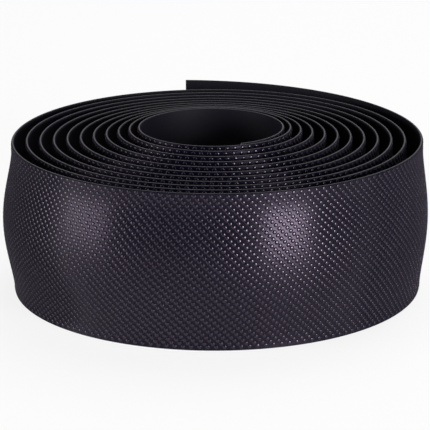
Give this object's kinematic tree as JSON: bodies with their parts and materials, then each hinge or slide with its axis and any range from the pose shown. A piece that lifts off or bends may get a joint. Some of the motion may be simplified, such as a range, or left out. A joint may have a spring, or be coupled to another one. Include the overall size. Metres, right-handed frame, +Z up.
{
  "type": "handlebar tape roll",
  "caption": "Roll of black embossed foam handlebar tape with a crowned section, standing on its edge, open in the middle, with a loose outer end.",
  "frame": {"origin": "middle of the footprint's box, on the surface that the roll stands on", "axes": "+Z up along the winding axis and across the tape's width; the loose outer end is at the back, towards +Y; the turns run anticlockwise outwards seen from above"},
  "size_m": [0.0834, 0.0892, 0.0321],
  "materials": {
    "embossed_foam": "satin, embossed with fine pips"
  },
  "bodies": {
    "root": {"tape_roll": "embossed_foam"}
  },
  "joints": []
}
